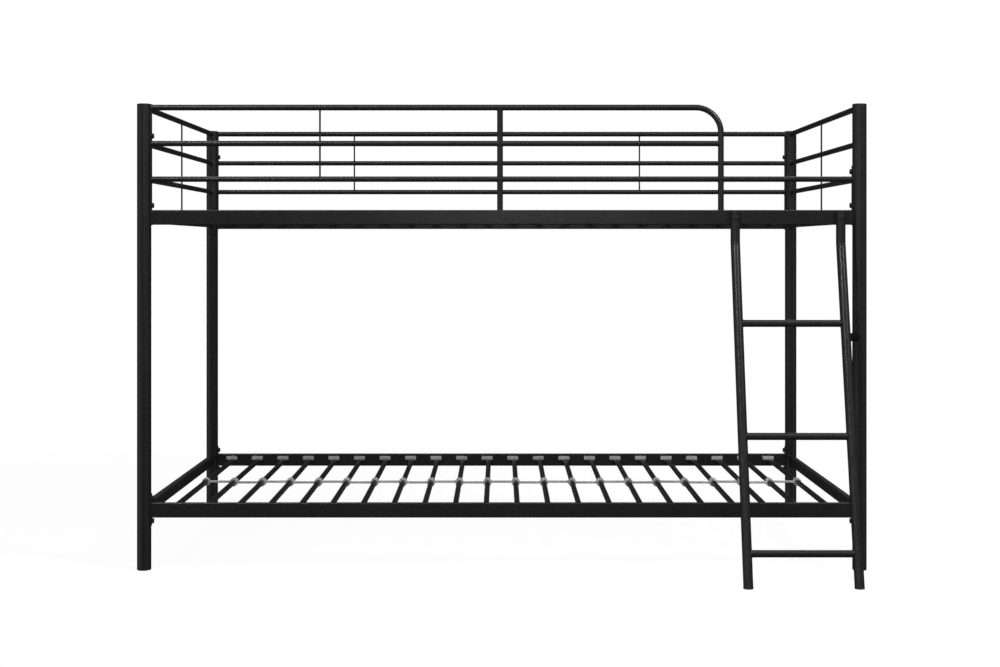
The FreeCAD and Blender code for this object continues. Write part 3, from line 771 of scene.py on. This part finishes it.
def plate_bolts():
    """Heads at the centre of each packed bolt, and the saddle washers under them."""
    bolts, washers = Shell(), Shell()
    t, e = WASHER_CREST_T, WASHER_EDGE_R
    r_in, r_out = BOLT_CLEAR_D / 2, BOLT_HEAD_D / 2
    for name in POSTS:
        axis = X * inward(name)
        u, v = side_axes(axis)
        upper = SHORT_PLATE_BOLTS_Z if name == "front_right" else UPPER_BOLTS_Z
        for z in LOWER_BOLTS_Z + upper:
            crest = on_post(name, z) + axis * PLATE_R
            bolt_head(bolts, crest + axis * t, axis, BOLT_HEAD_D, BOLT_HEAD_H,
                      BOLT_CROWN, BOLT_SOCKET_AF, BOLT_SOCKET_DEPTH)
            rings = [around(crest + axis * h, u, v, r, BOLT_SEGMENTS)
                     for r, h in ((r_in, 0), (r_out, 0), (r_out, t - e), (r_out - e, t), (r_in, t))]
            for k in (0, 1):    # the underside follows the plate's curve
                rings[k] = [q - axis * (PLATE_R - math.sqrt(PLATE_R ** 2 - (q.y - crest.y) ** 2))
                            for q in rings[k]]
            washers.loft(rings, looped=True)
    bolts.piece("plate_bolt_heads", "fastener_black", "plate_bolts")
    washers.piece("plate_washers", "fastener_black", "saddle_washers")


# ---------------------------------------------------------------- rails and guards

def onto_rail(q):
    """A point dropped onto the rounded top of the upper front rail."""
    half_flat = RAIL_W / 2 - RAIL_EDGE_R
    over = min(max(abs(q.y - FRONT_Y) - half_flat, 0), RAIL_EDGE_R)
    return Vector((q.x, q.y, RAIL_TOP - RAIL_EDGE_R + math.sqrt(RAIL_EDGE_R ** 2 - over ** 2)))


def side_rails():
    welds = Shell()
    outline = rounded_box(RAIL_W, RAIL_H, RAIL_EDGE_R)
    for level in ("upper", "lower"):
        for row in ("front", "rear"):
            node = f"{level}_{row}_side_rail"
            c = middle(node)
            shell = Shell()
            welded_bar(shell, welds, Vector((LEFT_X, c.y, c.z)), Vector((RIGHT_X, c.y, c.z)), outline,
                       upright_axis(row + "_left", PLATE_R), upright_axis(row + "_right", PLATE_R))
            shell.piece(f"side_rail_{level}_{row}", "frame_black", node)
    welds.piece("side_rail_welds", "frame_black")


def end_bearers():
    welds = Shell()
    for level in ("upper", "lower"):
        for side in ("left", "right"):
            node = f"{level}_end_bearer_{side}"
            c = middle(node)
            low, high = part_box(node)
            outline = rounded_box(high.x - low.x, high.z - low.z, RAIL_EDGE_R)
            shell = Shell()
            welded_bar(shell, welds, Vector((c.x, FRONT_Y, c.z)), Vector((c.x, REAR_Y, c.z)), outline,
                       upright_axis("front_" + side, POST_R), upright_axis("rear_" + side, POST_R))
            shell.piece(f"bearer_{level}_{side}", "frame_black", node)
    welds.piece("bearer_welds", "frame_black")


def spindle_run(shell, welds, x, y, members, foot_z=None):
    """A thin bar through horizontal tubes, given as (height, diameter, axis) with the lowest first.

    foot_z is the height of a flat seat under them.
    """
    outline = circle(SPINDLE_D / 2, SMALL_SEGMENTS)
    tubes = [(Vector((x, y, z)), axis, d / 2) for z, d, axis in members]
    if foot_z is not None:
        welded_bar(shell, welds, Vector((x, y, foot_z)), tubes[0][0], outline, None, tubes[0], SMALL_WELD_R)
    for lower, upper in zip(tubes, tubes[1:]):
        welded_bar(shell, welds, lower[0], upper[0], outline, lower, upper, SMALL_WELD_R)


def guard_members(axis):
    """The guard tubes that a spindle passes, lowest first."""
    return [(GUARD_Z[level], GUARD_SIZE[level], axis) for level in ("lower", "middle", "top")]


def end_guards():
    welds, spindles = Shell(), Shell()
    members = guard_members(Y)
    for side in ("left", "right"):
        x = POSTS["front_" + side].x
        for level, z in GUARD_Z.items():
            shell = Shell()
            welded_bar(shell, welds, Vector((x, FRONT_Y, z)), Vector((x, REAR_Y, z)),
                       circle(GUARD_SIZE[level] / 2),
                       upright_axis("front_" + side, POST_R), upright_axis("rear_" + side, POST_R))
            shell.piece(f"end_rail_{level}_{side}", "frame_black", f"end_guard_{level}_{side}")
        bearer_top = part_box("upper_end_bearer_" + side)[1].z
        spindle_run(spindles, welds, x, (FRONT_Y + REAR_Y) / 2, members, bearer_top)
    welds.piece("end_guard_welds", "frame_black")
    spindles.piece("end_spindle_bars", "frame_black", "end_guard_spindles")


def rear_guard():
    welds = Shell()
    for level, z in GUARD_Z.items():
        shell = Shell()
        welded_bar(shell, welds, Vector((LEFT_X, REAR_Y, z)), Vector((RIGHT_X, REAR_Y, z)),
                   circle(GUARD_SIZE[level] / 2),
                   upright_axis("rear_left", PLATE_R), upright_axis("rear_right", PLATE_R))
        shell.piece(f"rear_rail_{level}", "frame_black", f"rear_guard_{level}_rail")
    welds.piece("rear_guard_welds", "frame_black")


def side_spindles():
    shell, welds = Shell(), Shell()
    members = guard_members(X)
    low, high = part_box("side_guard_spindles")
    left, right = low.x + SPINDLE_D / 2, high.x - SPINDLE_D / 2
    for x, y in ((left, FRONT_Y), (left, REAR_Y), (right, REAR_Y)):
        spindle_run(shell, welds, x, y, members)
    shell.piece("side_spindle_bars", "frame_black", "side_guard_spindles")
    welds.piece("side_spindle_welds", "frame_black")


def front_guard():
    welds, hoop = Shell(), Shell()
    top, r = GUARD_Z["top"], GUARD_TOP_D / 2
    hoop_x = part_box("front_guard_hoop")[1].x - r
    centre_x = middle("front_guard_center_upright").x
    post_left = upright_axis("front_left", PLATE_R)
    post_right = upright_axis("front_right", PLATE_R)
    centre = (Vector((centre_x, FRONT_Y, 0)), Z, r)
    hoop_leg = (Vector((hoop_x, FRONT_Y, 0)), Z, r)
    under_hoop = (Vector((0, FRONT_Y, top)), X, r + COPE_MARGIN)

    def onto_post(q):
        return meet(q + X, -X, post_left)

    def up_to_hoop(q):
        return meet(q, Z, under_hoop)

    path = bend(Vector((LEFT_X, FRONT_Y, top)), Vector((hoop_x, FRONT_Y, top)),
                Vector((hoop_x, FRONT_Y, RAIL_TOP)), HOOP_BEND_R)
    for rim in sweep(hoop, path, r, onto_post, onto_rail):
        weld(welds, rim)
    hoop.piece("front_hoop_tube", "frame_black", "front_guard_hoop")

    upright = Shell()
    path = [(Vector((centre_x, FRONT_Y, z)), Z) for z in (RAIL_TOP, GUARD_Z["lower"])]
    for rim in sweep(upright, path, r, onto_rail, up_to_hoop):
        weld(welds, rim)
    upright.piece("front_upright_tube", "frame_black", "front_guard_center_upright")

    runs = {"middle": [(LEFT_X, centre_x, post_left, centre), (centre_x, hoop_x, centre, hoop_leg)],
            "lower": [(LEFT_X, centre_x, post_left, centre), (centre_x, hoop_x, centre, hoop_leg),
                      (hoop_x, RIGHT_X, hoop_leg, post_right)]}
    for level, spans in runs.items():
        shell = Shell()
        z = GUARD_Z[level]
        for x0, x1, cut0, cut1 in spans:
            welded_bar(shell, welds, Vector((x0, FRONT_Y, z)), Vector((x1, FRONT_Y, z)),
                       circle(GUARD_D / 2), cut0, cut1)
        shell.piece(f"front_rail_{level}", "frame_black", f"front_guard_{level}_rail")
    welds.piece("front_guard_welds", "frame_black")


# ---------------------------------------------------------------- slats

def slat_places():
    """X of each slat, spaced evenly."""
    low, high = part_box("lower_slats")
    first, last = low.x + TONGUE_W / 2, high.x - TONGUE_W / 2
    return [first + (last - first) * k / (SLAT_COUNT - 1) for k in range(SLAT_COUNT)]


def slat_section(flatness, n=40):
    """Outline of a slat, from round at 0 to the flat tongue at 1."""
    r = SLAT_D / 2
    half_w, half_t = TONGUE_W / 2, TONGUE_T / 2
    points = []
    for k in range(n):
        a = 2 * math.pi * k / n
        round_x, round_z = r * math.cos(a), r * math.sin(a)
        flat_x = half_w * math.copysign(abs(math.cos(a)) ** TONGUE_POWER_W, math.cos(a))
        flat_z = half_t * math.copysign(abs(math.sin(a)) ** TONGUE_POWER_T, math.sin(a))
        points.append((round_x + (flat_x - round_x) * flatness, round_z + (flat_z - round_z) * flatness))
    return points


def slat(shell, x, z, steps=9):
    """A slat across the bed, its flatness easing from 1 at the tongues to 0 where it is round."""
    front, rear = FRONT_Y + RAIL_W / 2, REAR_Y - RAIL_W / 2
    taper_end = front + TAPER_FROM_RAIL
    stations = [(front - TONGUE_IN_RAIL, 1), (taper_end - TAPER_LEN, 1)]
    for s in (k / steps for k in range(1, steps)):
        stations.append((taper_end - TAPER_LEN * (1 - s), 1 - s * s * (3 - 2 * s)))
    stations.append((taper_end, 0))
    stations += [(front + rear - y, flatness) for y, flatness in reversed(stations)]
    shell.loft([[Vector((x + a, y, z + b)) for a, b in slat_section(flatness)] for y, flatness in stations])


def socket_flange(shell, x, face_y, outward, bottom):
    """A thin moulded flange against the rail, with softened edges."""
    z = bottom + SOCKET_H / 2
    e = SOCKET_EDGE_R
    rings = []
    for inset, short in ((0, SOCKET_T), (0, e), (EDGE_BREAK * e, EDGE_BREAK * e), (e, 0)):
        outline = rounded_box(SOCKET_W - 2 * inset, SOCKET_H - 2 * inset, SOCKET_CORNER_R - inset,
                              corner_steps=4, wall_steps=2, guard=SOCKET_GUARD)
        y = face_y + outward * (SOCKET_T - short)
        rings.append([Vector((x + a, y, z + b)) for a, b in outline])
    shell.loft(rings)


def spacer_link(shell, x0, x1, y, z):
    """Two rings round neighbouring slats, joined by a rod that swells where it meets them."""
    outer, inner, half = LINK_RING_D / 2, SLAT_D / 2 + LINK_BORE_CLEARANCE, LINK_RING_LEN / 2
    e, bore_e = LINK_RING_EDGE_R, LINK_BORE_EDGE_R
    profile = arc(outer - e, half - e, e, 0, 90, 4) + arc(inner + bore_e, half - bore_e, bore_e, 90, 180, 2)
    profile += [(r, -h) for r, h in reversed(profile)]
    for x in (x0, x1):
        turned(shell, Vector((x, y, z)), Y, profile, LINK_SEGMENTS, looped=True)
    swell = [(LINK_ROD_D / 2 + LINK_SWELL * (1 - t / LINK_SWELL_AT[-1]) ** 2, outer - e + t)
             for t in LINK_SWELL_AT]
    ends = [(r, x1 - x0 - h) for r, h in reversed(swell)]
    turned(shell, Vector((x0, y, z)), X, swell + ends, LINK_ROD_SEGMENTS)


def decks():
    xs = slat_places()
    low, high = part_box("lower_slat_spacers")
    front_y, back_y = low.y + LINK_RING_LEN / 2, high.y - LINK_RING_LEN / 2
    for level in ("lower", "upper"):
        z = middle(level + "_slats").z
        shell = Shell()
        for x in xs:
            slat(shell, x, z)
        shell.piece(f"slat_tubes_{level}", "frame_black", level + "_slats")

        for row, y, outward in (("front", FRONT_Y, 1), ("rear", REAR_Y, -1)):
            node = f"{level}_{row}_slat_sockets"
            sockets = Shell()
            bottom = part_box(node)[0].z
            for x in xs:
                socket_flange(sockets, x + outward * SOCKET_OFFSET, y + outward * RAIL_W / 2, outward, bottom)
            sockets.piece(f"slat_socket_flanges_{level}_{row}", "slat_plastic_grey", node)

        links = Shell()
        for k, (x0, x1) in enumerate(zip(xs, xs[1:])):
            spacer_link(links, x0, x1, front_y if k % 2 else back_y, z)
        links.piece(f"slat_links_{level}", "slat_plastic_grey", level + "_slat_spacers")


# ---------------------------------------------------------------- ladder

def stile_axis_y(z):
    """Y of a stile's axis at a height, below its bend."""
    return STILE_Y - (STILE_BEND_Z - z) * STILE_LEAN


def stile_cylinder(side):
    """The leaning part of a stile, as a cylinder."""
    foot = Vector((0, -STILE_LEAN, -1)).normalized()
    return Vector((STILE_X[side], STILE_Y, STILE_BEND_Z)), foot, STILE_D / 2


def stiles():
    rail_face = FRONT_Y - RAIL_W / 2
    low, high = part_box("ladder_stile_left")
    caps = Shell()
    r, e, lip = STILE_D / 2, STILE_CAP_EDGE_R, CAP_LIP

    def notched(ring):
        """The ring, kept in front of the upper rail's face."""
        return [Vector((q.x, min(q.y, rail_face), q.z)) for q in ring]

    for side, x in STILE_X.items():
        path = bend(Vector((x, STILE_Y, RAIL_BOTTOM - NOTCH_STEP)), Vector((x, STILE_Y, STILE_BEND_Z)),
                    Vector((x, stile_axis_y(low.z), low.z)), STILE_BEND_R, 12)
        rings = [notched(around(Vector((x, STILE_Y, z)), X, -Y, r)) for z in (high.z, RAIL_BOTTOM)]
        rings += [around(p, X, direction.cross(X), r) for p, direction in path]
        down = path[-1][1]
        rings[-1] = [q + down * ((low.z - q.z) / down.z) for q in rings[-1]]
        shell = Shell()
        shell.loft(rings)
        shell.piece("stile_tube_" + side, "frame_black", "ladder_stile_" + side)

        profile = [(r - lip, 0), (r, lip)] + arc(r - e, STILE_CAP_T - e, e, 0, 90, 4)
        caps.loft([notched(around(Vector((x, STILE_Y, high.z + h)), X, Y, size)) for size, h in profile])
    caps.piece("stile_top_plugs", "cap_black", "ladder_top_caps")


def ladder_feet():
    """Soles of the plugs in the stile feet, level with the floor underneath."""
    shell = Shell()
    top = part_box("ladder_stile_left")[0].z
    r, e, lip = LADDER_CAP_D / 2, SOLE_EDGE_R, SOLE_LIP
    # A level plane cuts the leaning foot in an oval, longer along Y than across
    stretch = Y * math.sqrt(1 + STILE_LEAN ** 2)
    profile = ((r - e, 0), (r - EDGE_BREAK * e, EDGE_BREAK * e), (r, e), (r, top - lip), (r - lip, top))
    for x in STILE_X.values():
        shell.loft([around(Vector((x, stile_axis_y(z), z)), X, stretch, size) for size, z in profile])
    shell.piece("ladder_foot_soles", "cap_black", "ladder_foot_caps")


def rungs():
    welds = Shell()
    for name in ("bottom", "middle", "top"):
        c = middle("ladder_rung_" + name)
        shell = Shell()
        y = stile_axis_y(c.z)
        welded_bar(shell, welds, Vector((STILE_X["left"], y, c.z)), Vector((STILE_X["right"], y, c.z)),
                   circle(RUNG_D / 2), stile_cylinder("left"), stile_cylinder("right"))
        shell.piece("rung_tube_" + name, "frame_black", "ladder_rung_" + name)
    welds.piece("rung_welds", "frame_black")


def ladder_bolts():
    """Bolt heads on the stiles, each on a shoulder that fits the round tube."""
    shell = Shell()
    r = LADDER_BOLT_HEAD_D / 2
    for x in STILE_X.values():
        seat = Vector((x, STILE_Y - STILE_D / 2, LADDER_BOLT_Z))
        bolt_head(shell, seat, -Y, LADDER_BOLT_HEAD_D, LADDER_BOLT_HEAD_H, LADDER_BOLT_CROWN,
                  LADDER_BOLT_SOCKET_AF, LADDER_BOLT_SOCKET_DEPTH)
        turned(shell, seat + Y * LADDER_BOLT_SHOULDER, -Y,
               [(r - SHOULDER_IN[0], 0), (r - SHOULDER_IN[1], LADDER_BOLT_SHOULDER)], BOLT_SEGMENTS)
    shell.piece("ladder_bolt_heads", "fastener_black", "ladder_bolts")


def stay():
    """The tapered rubber spacer between the right stile and the post, faintly grooved."""
    start = Vector((STILE_X["right"], stile_axis_y(STAY_Z), STAY_Z))
    end = Vector((RIGHT_X - STAY_ASIDE, FRONT_Y, STAY_Z))
    axis = (end - start).normalized()
    u, v = side_axes(axis)
    sides = []
    for p, q in zip(around(start, u, v, STAY_STILE_D / 2), around(end, u, v, STAY_POST_D / 2)):
        halfway = (p + q) / 2
        sides.append((meet(halfway, (p - q).normalized(), stile_cylinder("right")),
                      meet(halfway, (q - p).normalized(), upright_axis("front_right", POST_R))))
    rings = []
    steps = 24
    for k in range(steps + 1):
        depth = STAY_GROOVE * math.sin(STAY_GROOVES * math.pi * k / steps) ** 8
        ring = []
        for near, far in sides:
            p = near.lerp(far, k / steps)
            on_axis = start + axis * (p - start).dot(axis)
            ring.append(p - (p - on_axis).normalized() * depth)
        rings.append(ring)
    shell = Shell()
    shell.loft(rings)
    shell.piece("stay_spacer_cone", "stay_rubber", "ladder_stay_spacer")


studio()
posts()
post_caps()
plates()
plate_bolts()
side_rails()
end_bearers()
end_guards()
rear_guard()
side_spindles()
front_guard()
decks()
stiles()
ladder_feet()
rungs()
ladder_bolts()
stay()

for node in ("post_thread_inserts", "ladder_thread_inserts", "ladder_stay_stud"):
    for material_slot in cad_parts[node].material_slots:
        material_slot.material = MATERIALS["insert_steel"]
